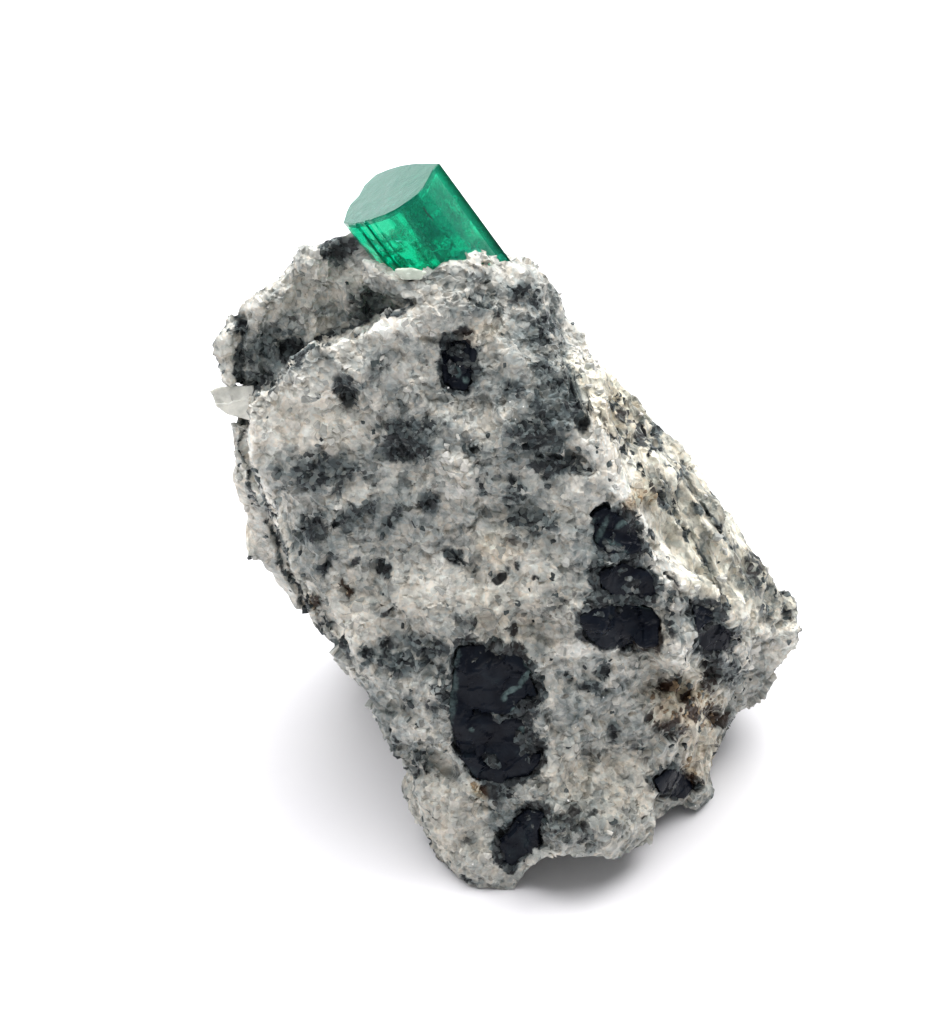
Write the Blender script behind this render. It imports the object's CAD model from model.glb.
"""Looks of an emerald in matrix: the granular rock, its crystals and loose grains, and the emerald.

Metres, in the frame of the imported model. Places on the display face are in millimetres on a plane
that leans back through the middle of the specimen: across to the right, up the slope, and out of
the plane. They are taken as they line up from the eye, which looks square at that plane.
"""

import math
import random

import bmesh
import bpy
import numpy as np
from mathutils import Matrix, Vector, bvhtree, noise


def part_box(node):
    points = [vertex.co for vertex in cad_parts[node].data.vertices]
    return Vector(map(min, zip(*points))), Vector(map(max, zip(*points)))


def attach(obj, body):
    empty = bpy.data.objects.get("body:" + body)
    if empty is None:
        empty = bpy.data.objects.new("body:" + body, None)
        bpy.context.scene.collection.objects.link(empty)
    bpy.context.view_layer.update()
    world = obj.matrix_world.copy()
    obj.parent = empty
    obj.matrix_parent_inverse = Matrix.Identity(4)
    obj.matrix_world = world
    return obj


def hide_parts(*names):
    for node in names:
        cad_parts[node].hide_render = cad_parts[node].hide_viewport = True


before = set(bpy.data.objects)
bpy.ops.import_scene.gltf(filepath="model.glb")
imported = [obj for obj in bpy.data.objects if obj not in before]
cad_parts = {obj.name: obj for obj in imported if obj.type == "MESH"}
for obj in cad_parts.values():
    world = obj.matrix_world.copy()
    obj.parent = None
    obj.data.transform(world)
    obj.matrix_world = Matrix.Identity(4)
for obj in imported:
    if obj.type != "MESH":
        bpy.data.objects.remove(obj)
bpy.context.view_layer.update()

MM = 0.001

# The leaning plane, and the eye that looks square at it.
LEAN = math.radians(40.0)
PLANE_CENTRE = Vector((-2.2, 0.0, 16.5)) * MM
ACROSS = Vector((1.0, 0.0, 0.0))
UP_SLOPE = Vector((0.0, math.sin(LEAN), math.cos(LEAN)))
OUT = Vector((0.0, -math.cos(LEAN), math.sin(LEAN)))
EYE_DISTANCE = 200.0 * MM
EYE = PLANE_CENTRE + OUT * EYE_DISTANCE
SENSOR_WIDTH = 36.0
LENS = 140.6

# The layers of the rock's flank run this much to the right and this much down the slope.
RUN, FALL = 0.49, 0.87
LAYERS = ACROSS * RUN - UP_SLOPE * FALL

BLACK_CRYSTALS = (
    "black_crystal_lower_front", "black_crystal_lens", "black_crystal_lobe", "black_crystal_ridge",
    "black_crystal_flank", "black_crystal_foot", "black_crystal_upper", "black_crystal_lower_right",
)

# Colours of each worn chip, where it is cloudy and where it is clear.
CHIP_COLOURS = {
    "pale_chip_left_edge": ((0.80, 0.79, 0.73), (0.52, 0.52, 0.48)),
    "pale_chip_below_emerald": ((0.58, 0.61, 0.54), (0.32, 0.38, 0.32)),
}

# How tall each worn chip is beside its CAD node, and how far up the slope it has moved (mm).
CHIP_FIT = {"pale_chip_left_edge": (0.85, 0.05), "pale_chip_below_emerald": (0.60, 0.40)}

# Where the rock closes round the foot of each chip, as a shift from the chip's own place. The chip
# below the emerald has two such beds.
CHIP_BEDS = (
    ("pale_chip_left_edge", (ACROSS * 1.3 - OUT * 0.5) * MM),
    ("pale_chip_below_emerald", (UP_SLOPE * 0.25 - OUT * 0.35) * MM),
    ("pale_chip_below_emerald", (UP_SLOPE * -0.30 - OUT * 0.30) * MM),
)

# Outline of the emerald's flat end as it lines up on the display plane (mm).
EMERALD_END = (
    (-6.45, 14.5), (-6.3, 15.0), (-6.1, 15.4), (-5.7, 15.8), (-5.4, 16.35), (-4.8, 16.9), (-4.2, 17.15),
    (-3.55, 17.35), (-2.85, 17.45), (-1.65, 17.45), (-1.95, 17.12), (-2.17, 16.68), (-2.42, 16.25),
    (-2.72, 15.92), (-3.1, 15.62), (-3.5, 15.33), (-3.95, 15.06), (-4.4, 14.84), (-4.95, 14.66),
    (-5.05, 14.60), (-5.35, 14.55), (-5.42, 14.47), (-5.75, 14.46), (-5.85, 14.38), (-6.2, 14.43),
)

# What is sealed in the emerald: wisps and their least and greatest size (mm), sheets of haze, and the
# place of a dark rift on the display plane (mm).
VEILS = 170
VEIL_SIZE = (0.15, 0.9)
HAZE_SHEETS = 5
RIFT = (-2.2, 14.9)

# Seed of the noise that bends the wisps and the rift.
NOISE_SEED = 3

# Size of the even faces that each kind of piece is made into (mm), and the rock's triangles.
ROCK_VOXEL = 0.105
CRYSTAL_VOXEL = 0.12
CHIP_VOXEL = 0.08
ROCK_FACES = 192000

# How far the black crystals and the chips swell, as pieces and as fillings of their sockets in the
# rock, and how far the black ones and their fillings sink (mm).
CRYSTAL_GROWTH = 0.30
CRYSTAL_SINK = 0.34
CHIP_GROWTH = 0.12
SOCKET_FILL = 0.35
SOCKET_SINK = 0.43
CHIP_FILL = 0.25

# How deep the rock's pockets round the black crystals are, how far its grip goes into the emerald,
# and how far from the emerald's middle it bears no loose grains (mm).
POCKET_DEPTH = 0.35
GRIP_DEPTH = 0.15
CLEAR_OF_EMERALD = 4.5

# How far the foot of the display face overhangs, how high it rises across its width, how far the
# lower left edge steps in, and how far the brow below the emerald drops (mm).
OVERHANG = 2.0
FOOT_RISE_ACROSS = (2.0, 2.9, 3.7, 5.9, 7.8, 8.6)
FOOT_RISE = (0.0, 1.2, 2.1, 1.3, 0.3, 0.0)
EDGE_UP = (-18.0, -14.5, -12.0, -8.5, -6.0)
EDGE_ACROSS = (-1.5, -3.6, -5.3, -6.3, -7.5)
EDGE_STEP_UP = (-14.0, -12.0, -9.0, -7.5)
EDGE_STEP = (0.0, 0.9, 0.7, 0.0)
BROW_DROP = 1.0

# Right-hand edge of the smooth lobe beside the display face, and the middle of the flank, along its
# layers (mm).
LOBE_UP = (-6.0, -3.1, 0.4, 2.6, 5.4)
LOBE_ACROSS = (-7.3, -9.2, -10.4, -11.3, -11.5)
FLANK_MIDDLE = 7.0

# Width of the rock's grains, of the fine grains between them, of its pale lumps and of the plates of
# its flank (mm).
GRAIN = 0.46
FINE_GRAIN = 0.23
LUMP = 1.15
PLATE = 1.15

# What the rock's finish reads at each place, and how much each part of it adds to the share of dark
# grains and to the lightness of the pale ones.
ROCK_MARKS = ("dark", "pale", "lip", "flank", "grey", "lobe", "streak", "warm")
DARK_WEIGHTS = {
    "dark": 0.89, "domains": -0.16, "clouds": -0.30, "pale": -0.16, "lip": -0.20, "grey": 0.12,
    "lobe": -0.25, "lump": -0.3,
}
TONE_WEIGHTS = {
    "domains": 0.21, "clouds": 0.25, "mottle": 0.22, "pale": 0.30, "lip": 0.26, "flank": 0.13,
    "dark": -0.20, "lump": 0.10, "grey": -0.26, "lobe": 0.07, "streak": 0.16,
}

# Colours of the rock: its pale grains from dark to light, its dark grains, the tint of each grain, and
# the tint of iron stain.
ROCK_PALE = (
    (0.0, (0.055, 0.075, 0.080)), (0.25, (0.16, 0.187, 0.19)), (0.5, (0.355, 0.363, 0.35)),
    (0.75, (0.60, 0.585, 0.545)), (1.0, (0.86, 0.845, 0.80)),
)
ROCK_BLACK = (
    (0.0, (0.007, 0.009, 0.011)), (0.4, (0.024, 0.030, 0.034)), (0.8, (0.08, 0.096, 0.10)),
    (1.0, (0.15, 0.17, 0.17)),
)
ROCK_TINT = (
    (0.0, (0.92, 0.98, 0.99)), (0.35, (0.98, 1.0, 0.99)), (0.7, (1.0, 0.98, 0.94)),
    (1.0, (1.0, 0.94, 0.86)),
)
RUST_TINT = ((0.0, (0.60, 0.42, 0.25)), (0.5, (0.86, 0.74, 0.55)), (1.0, (1.0, 0.93, 0.78)))

# How far each colour of light goes into the pale pieces, beside red.
LIGHT_REACH = (1.0, 0.95, 0.85)

# Loose grains: three colours, least and most roughness, share of light let in, and stain.
GRAIN_LOOKS = {
    "pale_grains": (((0.30, 0.315, 0.30), (0.46, 0.46, 0.435), (0.64, 0.625, 0.575)), (0.3, 0.6), 0.4, 0.0),
    "dark_grains": (((0.012, 0.018, 0.02), (0.035, 0.048, 0.05), (0.11, 0.13, 0.13)), (0.25, 0.6), 0.0, 0.0),
    "rusty_grains": (((0.06, 0.04, 0.03), (0.22, 0.17, 0.12), (0.55, 0.50, 0.40)), (0.4, 0.8), 0.1, 0.15),
    "sparkles": (((0.88, 0.89, 0.88), (0.92, 0.92, 0.90), (0.95, 0.95, 0.95)), (0.1, 0.25), 0.2, 0.0),
}
SPARKLES = (
    (-0.35, 5.85), (0.65, 5.85), (1.9, 5.5), (2.15, 4.6), (-0.1, 3.6), (-0.85, 4.6), (-5.5, 11.9),
    (0.0, -17.65), (11.15, -14.65), (-1.2, 6.2), (2.6, 5.2), (1.2, 4.2), (-0.6, 7.3),
)

# Broken facets of the rock and of its crystals: size of a facet (mm), how steeply it tilts, and its
# random step (mm).
ROCK_FACETS = ((2.6, 0.12, 0.06), (1.0, 0.16, 0.06), (GRAIN, 0.26, 0.05))
CLEAVAGE_FACETS = ((2.2, 0.10, 0.04), (0.9, 0.06, 0.02))

# Patches of the display face: place, half width and half height (mm), turn (degrees), strength.
DARK_PATCHES = (
    (-10.2, 7.9, 1.5, 2.0, -20, 0.25), (-9.0, 8.1, 0.8, 0.7, 0, 0.95), (-10.5, 6.4, 0.8, 0.5, 30, 1.0),
    (-5.2, 10.5, 0.9, 1.0, 0, 0.55), (-6.6, 13.2, 0.9, 0.6, 0, 0.9), (-6.2, 6.0, 0.7, 0.9, 0, 0.95),
    (0.6, 10.5, 0.6, 0.35, 0, 0.6), (2.5, 10.9, 0.55, 0.5, 0, 0.75), (3.6, 9.2, 0.7, 0.7, -15, 0.7),
    (3.7, 7.4, 0.6, 0.7, 0, 0.85), (2.7, 10.7, 0.8, 0.5, 0, 0.7), (1.2, 9.8, 0.3, 0.2, 0, 0.8),
    (2.0, 6.1, 0.6, 0.55, 0, 0.75), (-3.2, 3.4, 1.3, 0.9, 0, 1.0), (-3.1, 4.2, 1.4, 0.4, 0, 0.8),
    (-7.4, 2.1, 1.6, 1.0, 0, 0.6), (-6.0, -0.1, 1.3, 0.4, 20, 0.9), (-7.9, -0.8, 0.75, 0.6, 30, 1.0),
    (-2.2, 0.5, 0.6, 0.6, 0, 0.95), (-3.9, -0.5, 0.5, 0.4, 0, 0.6), (-7.5, -2.5, 0.3, 0.6, -30, 0.85),
    (-4.7, -2.9, 0.42, 0.5, 0, 1.0), (-6.5, -3.9, 0.22, 0.55, 15, 1.0), (-6.0, -2.9, 0.2, 0.2, 0, 0.9),
    (-8.0, -4.4, 0.3, 0.4, 0, 0.9), (-4.0, -5.0, 0.25, 0.3, 0, 0.75), (-7.1, -6.0, 1.1, 0.3, -55, 1.0),
    (-5.5, -6.9, 0.3, 0.4, 0, 1.0), (-4.5, -6.9, 0.3, 0.7, 10, 0.9), (-3.7, -7.6, 1.0, 0.5, 0, 0.65),
    (-2.0, -6.8, 0.9, 0.6, 0, 0.65), (-0.7, -2.4, 0.55, 0.35, -40, 0.95),
    (1.4, -3.2, 0.3, 0.3, 0, 0.85), (2.2, -2.8, 0.22, 0.2, 0, 0.85), (3.4, -3.4, 0.25, 0.25, 0, 0.8),
    (2.0, -5.7, 0.3, 0.35, 0, 0.9), (-0.3, -5.6, 0.5, 0.5, 0, 0.5), (4.0, -4.5, 0.45, 0.4, 0, 0.5),
    (0.6, 1.35, 0.25, 0.4, 0, 0.85), (0.0, 3.1, 0.3, 0.25, 0, 0.9), (3.2, 3.9, 1.2, 0.7, 0, 0.85),
    (3.8, 2.3, 0.9, 0.55, 0, 1.0), (2.1, 0.9, 0.35, 0.7, 0, 0.75), (3.2, -0.55, 1.2, 0.7, 0, 0.5),
    (4.2, -0.3, 0.22, 0.22, 0, 0.9), (4.2, 5.6, 0.9, 2.0, -12, 0.5), (5.3, 5.0, 0.3, 1.0, 18, 1.0),
    (10.0, -4.8, 0.4, 1.5, 0, 0.85), (11.9, -7.9, 0.5, 1.0, 0, 1.0), (13.0, -7.9, 0.9, 0.7, -30, 0.6),
    (7.6, -2.0, 1.4, 0.5, 0, 1.0), (7.4, -4.5, 1.7, 0.4, -10, 1.0), (6.2, -3.0, 0.5, 0.9, 0, 0.9),
    (15.4, -3.8, 0.5, 0.6, 0, 0.4), (8.9, -3.0, 0.4, 1.2, 15, 0.7), (14.3, -2.6, 0.4, 0.6, 25, 0.8),
    (11.3, -0.1, 0.25, 0.6, 28, 0.5), (10.6, 1.9, 0.25, 0.6, 30, 0.55), (8.8, 1.2, 0.2, 0.5, 28, 0.5),
    (10.0, -8.6, 0.45, 0.35, 0, 1.0), (11.5, -10.0, 0.5, 0.4, 0, 1.0), (12.2, -10.6, 0.4, 0.35, 0, 1.0),
    (7.5, 4.9, 0.2, 0.2, 0, 0.9), (9.0, 2.9, 0.2, 0.25, 0, 0.9), (8.5, 3.5, 0.25, 0.2, 0, 0.9),
    (12.4, -0.6, 0.2, 0.2, 0, 0.8), (13.2, -1.7, 0.2, 0.2, 0, 0.8), (-3.4, -9.8, 0.4, 0.7, 0, 0.5),
    (-1.5, -9.2, 0.5, 1.0, 0, 0.85), (-3.7, -12.5, 0.3, 1.2, 20, 1.0), (-2.5, -12.4, 0.9, 0.6, 0, 0.6),
    (6.1, -8.9, 0.75, 0.4, 0, 0.9), (6.5, -7.8, 0.4, 0.4, 0, 0.85), (4.9, -8.4, 0.2, 0.2, 0, 0.85),
    (7.1, -11.1, 0.55, 0.3, 0, 0.7), (8.2, -11.8, 0.5, 0.4, 0, 0.6), (8.8, -10.2, 0.35, 0.15, 0, 0.9),
    (9.9, -11.0, 0.8, 0.55, -15, 0.9), (9.3, -13.8, 0.7, 0.35, 0, 0.65),
    (8.2, 3.75, 0.35, 0.35, 0, 1.0), (9.1, 4.0, 0.3, 0.3, 0, 1.0), (9.2, 3.2, 0.3, 0.3, 0, 0.9),
    (7.1, 5.6, 0.22, 0.22, 0, 0.9), (7.7, 5.4, 0.22, 0.22, 0, 0.9), (7.7, 4.7, 0.22, 0.22, 0, 0.9),
    (9.9, 0.75, 0.35, 0.7, -25, 0.5), (13.9, -2.8, 0.35, 0.4, 0, 0.8), (14.8, -3.6, 0.4, 0.2, 0, 0.7),
    (15.9, -4.6, 0.4, 1.0, 0, 0.6), (14.7, -5.0, 0.5, 0.3, 0, 0.4), (6.6, 4.0, 0.15, 0.4, 0, 1.0),
    (-10.8, 0.8, 0.5, 0.5, 0, 0.5), (-12.0, 4.1, 0.3, 0.6, 0, 0.5), (4.1, -15.6, 1.7, 0.9, -15, 0.35),
    (4.2, -15.2, 0.22, 0.18, 0, 1.0), (4.3, -16.2, 0.25, 0.18, 0, 1.0), (3.4, -14.8, 0.3, 0.15, 0, 0.9),
    (5.4, -15.6, 0.2, 0.16, 0, 0.9), (5.9, -15.3, 0.16, 0.14, 0, 0.9), (4.9, -16.6, 0.3, 0.15, 0, 0.9),
    (3.3, -16.6, 0.25, 0.3, 0, 0.8), (1.1, -14.1, 0.85, 0.4, 0, 1.0), (9.6, -8.8, 0.5, 0.4, 0, 1.0),
    (10.8, -9.2, 0.45, 0.45, 0, 1.0), (12.3, -10.3, 0.6, 0.5, 0, 0.95), (0.0, -18.5, 0.3, 0.12, 0, 1.0),
)
GREY_PATCHES = (
    (-7.4, 2.1, 2.0, 1.3, 0, 0.7), (-5.0, -0.3, 3.0, 1.4, 10, 0.65), (-3.0, 3.6, 1.7, 1.2, 0, 0.8),
    (1.6, 6.4, 2.2, 1.2, 0, 0.5), (4.2, 6.0, 1.6, 3.0, -12, 0.8), (1.5, 3.0, 2.4, 1.0, 0, 0.4),
    (3.3, 3.2, 1.6, 1.4, 0, 0.8), (2.6, 0.2, 1.8, 1.5, 0, 0.55), (-3.0, -7.3, 2.6, 1.0, 0, 0.7),
    (-4.4, -9.6, 0.9, 1.6, 0, 0.6), (7.2, -9.0, 1.6, 1.2, 0, 0.45), (5.0, -11.0, 3.0, 1.6, 0, 0.3),
    (-5.3, 6.6, 1.6, 1.8, 0, 0.45), (5.2, -1.5, 2.0, 1.4, 0, 0.4), (10.6, 0.6, 1.0, 2.6, 30, 0.45),
    (8.8, 4.6, 1.8, 1.8, 0, 0.4), (-8.4, -2.0, 1.0, 1.6, 0, 0.5), (2.8, -6.6, 1.0, 0.8, 0, 0.4),
    (-10.0, 7.6, 1.6, 2.6, -20, 0.8), (-5.6, 10.6, 2.0, 1.2, 0, 0.5), (-6.6, 13.0, 1.2, 0.9, 0, 0.7),
    (-12.0, 3.4, 0.9, 2.0, 0, 0.4), (8.6, 4.4, 1.4, 1.6, 0, 0.5), (3.4, 9.0, 1.5, 2.0, -15, 0.5),
    (-1.4, 11.6, 1.6, 0.6, 10, 0.3), (13.6, -7.4, 1.8, 2.0, 0, 0.6), (12.2, -5.6, 1.2, 1.0, 0, 0.5),
    (3.5, -15.4, 3.5, 1.3, 0, 0.8), (-1.6, -15.2, 2.0, 2.4, 0, 0.1), (14.6, -3.2, 1.4, 1.4, 0, 0.6),
)
PALE_PATCHES = (
    (-8.2, 4.6, 2.8, 1.7, 0, 1.0), (-1.0, 1.9, 1.0, 1.0, 0, 0.6), (-1.9, -3.4, 0.9, 1.3, 0, 0.85),
    (-5.6, -5.4, 1.1, 0.95, 0, 1.0), (1.4, -1.9, 1.1, 0.95, 0, 0.9), (3.4, -3.1, 0.9, 0.8, 0, 0.8),
    (0.4, -4.0, 1.4, 0.9, 0, 0.7), (4.9, -6.8, 1.0, 0.6, 0, 1.0), (7.4, -7.9, 0.7, 0.8, 0, 0.9),
    (-1.8, -15.6, 1.7, 2.1, 0, 0.4), (0.5, -15.6, 0.6, 1.0, 0, 0.8), (6.4, -13.9, 2.4, 1.8, 0, 0.3),
    (6.8, 2.2, 0.7, 1.4, 25, 1.0), (9.4, -1.9, 0.7, 1.9, 28, 1.0), (5.9, 7.6, 0.9, 2.2, 10, 1.0),
    (0.4, 9.1, 1.0, 0.7, 0, 0.8), (-3.8, 9.2, 1.4, 0.6, 0, 0.9), (14.4, -7.0, 1.5, 1.0, 0, 0.6),
    (11.4, -11.3, 0.9, 2.0, 0, 0.5), (1.0, 12.5, 1.6, 0.6, 0, 0.6), (-12.0, 2.5, 1.0, 4.5, 0, 0.7),
    (-7.6, 11.5, 2.6, 1.6, 20, 0.8), (7.4, 2.2, 0.6, 1.2, 30, 1.0), (9.0, -1.6, 0.8, 1.7, 30, 1.0),
    (12.4, -2.4, 0.4, 1.0, 25, 0.9), (6.0, 5.4, 0.5, 1.4, 12, 1.0),
)
WARM_PATCHES = (
    (10.2, -9.0, 1.2, 0.6, 0, 1.0), (11.4, -9.0, 0.5, 0.4, 0, 0.9), (11.4, -11.3, 1.2, 2.0, 0, 0.5),
    (11.8, -10.3, 0.9, 0.6, 0, 0.8), (0.3, -14.2, 0.45, 0.3, -30, 1.0), (1.4, -1.9, 1.1, 0.95, 0, 0.45),
    (0.4, 9.1, 1.0, 0.7, 0, 0.4), (7.6, 5.2, 1.6, 1.5, 0, 0.3), (8.4, 0.6, 0.9, 0.4, 0, 0.8),
    (-6.5, -3.9, 0.22, 0.55, 15, 0.8), (-8.0, -4.4, 0.3, 0.4, 0, 0.8), (4.1, -15.6, 1.7, 0.9, -15, 0.1),
    (13.9, -2.8, 0.7, 0.8, 0, 0.2), (-12.0, -1.5, 0.9, 3.0, 0, 0.35), (11.0, -12.9, 0.5, 0.4, 0, 0.8),
    (6.4, -13.9, 3.2, 2.4, 0, 0.22), (-1.8, -15.6, 2.4, 2.4, 0, 0.16), (10.6, -9.6, 1.9, 1.6, 0, 0.75),
    (2.0, -5.0, 3.0, 2.0, 0, 0.22), (9.0, -6.5, 0.8, 1.5, 0, 0.4), (-8.0, 4.6, 3.0, 1.6, 0, 0.14),
    (-4.6, -4.6, 3.0, 1.6, 0, 0.14),
)

# Rust and grey-green veils on the black crystals, set out in the same way.
CRYSTAL_RUST = ((0.2, -13.9, 0.5, 0.4, -30, 1.0), (0.7, -14.3, 0.5, 0.25, 0, 0.8))
VEIL_PATCHES = (
    (3.0, -7.1, 0.35, 0.8, -15, 0.9), (2.7, -8.2, 0.6, 0.17, 50, 1.0), (2.0, -8.9, 0.55, 0.15, 25, 1.0),
    (1.6, -9.3, 0.2, 0.2, 0, 0.8), (2.15, -9.9, 0.25, 0.18, 30, 0.9), (0.0, -10.9, 0.18, 0.12, 0, 0.8),
    (2.5, -10.9, 0.25, 0.2, 0, 0.9), (-1.0, -9.2, 0.35, 1.8, -5, 0.6), (-0.9, -7.2, 0.4, 0.8, 0, 0.6),
    (8.7, -4.7, 0.8, 0.13, -12, 1.0), (5.6, -7.0, 0.9, 0.2, -35, 0.8), (6.4, -3.2, 0.4, 0.9, 0, 0.3),
    (6.9, -0.2, 0.9, 0.3, 0, 0.25), (1.0, -16.6, 0.3, 0.4, 20, 0.6), (2.4, -17.9, 0.4, 0.3, 0, 0.5),
    (5.6, -0.7, 0.9, 0.25, 25, 0.7), (7.2, -1.7, 0.8, 0.2, -30, 0.7), (6.5, -0.9, 0.2, 0.9, -25, 0.7),
    (7.5, -0.6, 0.5, 0.2, 30, 0.7), (-0.7, 7.0, 0.2, 0.3, 0, 0.9), (-0.3, 6.6, 0.2, 0.2, 0, 0.9),
    (11.0, -6.8, 0.5, 0.9, 10, 0.6),
)

# Raised cream lips and sunk dark cracks that follow a line: corners (mm), half width and height (mm).
LIPS = (
    (((-11.1, 5.6), (-10.5, 6.4), (-9.3, 7.0), (-8.6, 7.6), (-7.3, 8.4), (-6.3, 8.8), (-4.8, 9.1),
      (-2.1, 10.1)), 0.45, 0.30),
    (((-10.7, 10.9), (-12.0, 9.9), (-12.5, 8.2), (-12.0, 6.6), (-11.5, 5.5)), 0.35, 0.35),
    (((-11.2, 5.4), (-11.1, 2.6), (-10.1, 0.4), (-8.9, -3.1), (-7.9, -5.2), (-6.9, -6.2)), 0.28, 0.22),
    (((10.3, -3.3), (12.4, -4.0), (13.4, -4.8), (14.3, -5.8), (15.4, -6.2), (16.1, -5.9)), 0.30, 0.40),
    (((5.1, 7.9), (5.7, 5.3), (6.6, 3.0), (8.0, -0.2), (9.6, -2.6), (10.4, -4.2)), 0.35, 0.30),
    (((10.2, -4.4), (10.0, -6.2), (10.6, -7.6), (11.4, -8.2)), 0.22, 0.25),
    (((12.6, -7.4), (13.6, -7.8), (13.1, -5.6), (11.8, -4.2)), 0.22, 0.25),
    (((6.5, 5.0), (7.3, 3.2), (8.3, 1.9), (9.4, 0.5), (10.2, -0.7), (11.0, -2.2), (12.1, -3.7)),
     0.16, 0.26),
    (((9.2, 3.0), (10.2, 1.7), (11.2, 0.2), (12.1, -1.2), (12.7, -2.4), (12.5, -3.3)), 0.16, 0.26),
)
CRACKS = (
    (((-11.5, 9.6), (-11.8, 7.6), (-11.4, 5.8), (-11.4, 3.0), (-10.5, 0.6), (-9.3, -2.6), (-8.3, -5.0)),
     0.16, 0.45),
    (((5.3, 6.9), (5.9, 4.8), (5.6, 4.0)), 0.16, 0.40),
    (((6.4, 4.9), (6.9, 3.6)), 0.14, 0.40),
    (((-8.6, 7.4), (-7.0, 8.9), (-4.8, 9.7), (-2.9, 10.5)), 0.20, 0.20),
    (((3.5, 2.9), (4.8, 2.8), (5.8, 2.2)), 0.14, 0.30),
    (((9.0, -1.8), (9.8, -3.3), (10.8, -4.5)), 0.10, 0.25),
    (((8.3, 2.3), (9.8, 0.3), (11.0, -1.6), (11.7, -2.9)), 0.09, 0.25),
    (((10.0, 2.4), (11.5, 0.4), (12.6, -1.4)), 0.09, 0.25),
    (((7.2, 4.2), (7.9, 2.4), (8.6, 1.2)), 0.08, 0.2),
)

# Tongues of rock that lie over the edge of a black crystal, set out as the patches are.
TONGUES = (
    (3.75, -10.1, 0.75, 1.2, -10, 1.0), (-0.9, -13.9, 0.6, 0.6, 0, 1.0),
    (-2.2, -11.2, 0.5, 0.9, 0, 1.0), (5.4, -0.2, 0.5, 0.35, 0, 0.8), (7.6, -1.3, 0.5, 0.4, 0, 0.8),
)

# Round pits of the display face: place, radius and depth (mm).
PITS = (
    (-4.7, -2.9, 0.30, 0.35), (-5.5, -6.9, 0.28, 0.35), (-0.7, -2.4, 0.32, 0.30),
    (-6.5, -3.9, 0.22, 0.30), (8.2, 3.75, 0.36, 0.45), (9.1, 4.0, 0.30, 0.40), (9.2, 3.2, 0.28, 0.40),
    (7.1, 5.6, 0.22, 0.35), (7.7, 5.4, 0.22, 0.35), (7.7, 4.7, 0.24, 0.35), (13.9, -2.8, 0.45, 0.45),
    (9.6, -8.8, 0.42, 0.50), (10.8, -9.2, 0.40, 0.50), (12.3, -10.3, 0.5, 0.45), (-9.0, 8.1, 0.7, 0.50),
    (-10.4, 6.6, 0.6, 0.50), (2.5, 10.9, 0.4, 0.30), (-6.2, 6.0, 0.5, 0.30), (0.0, 3.1, 0.25, 0.25),
    (1.4, -3.2, 0.22, 0.25), (3.4, -3.4, 0.2, 0.25), (-4.0, -5.0, 0.2, 0.2), (4.2, -15.2, 0.25, 0.30),
    (4.3, -16.2, 0.25, 0.30), (5.4, -15.6, 0.22, 0.25), (3.3, -16.6, 0.3, 0.30),
    (11.9, -7.9, 0.45, 0.45), (4.9, -8.4, 0.2, 0.25), (-7.9, -0.8, 0.5, 0.30), (-3.2, 3.4, 0.9, 0.25),
)

# Lamps: place, width (m), power (W) and colour.
LIGHTS = (
    ("overhead", (0.0, 0.17, 0.41), 0.76, 5.0, (0.99, 0.99, 1.0)),
    ("key", (0.14, 0.12, 0.34), 0.22, 0.56, (1.0, 0.99, 0.97)),
    ("fill", (-0.28, 0.08, 0.30), 0.30, 0.46, (1.0, 1.0, 1.0)),
)

# The middle of a random colour, and the socket of a group that changes a shape.
COLOUR_MIDDLE = (0.5, 0.5, 0.5)
GEOMETRY = {"Geometry": "NodeSocketGeometry"}


# ---------------------------------------------------------------- nodes

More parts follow.
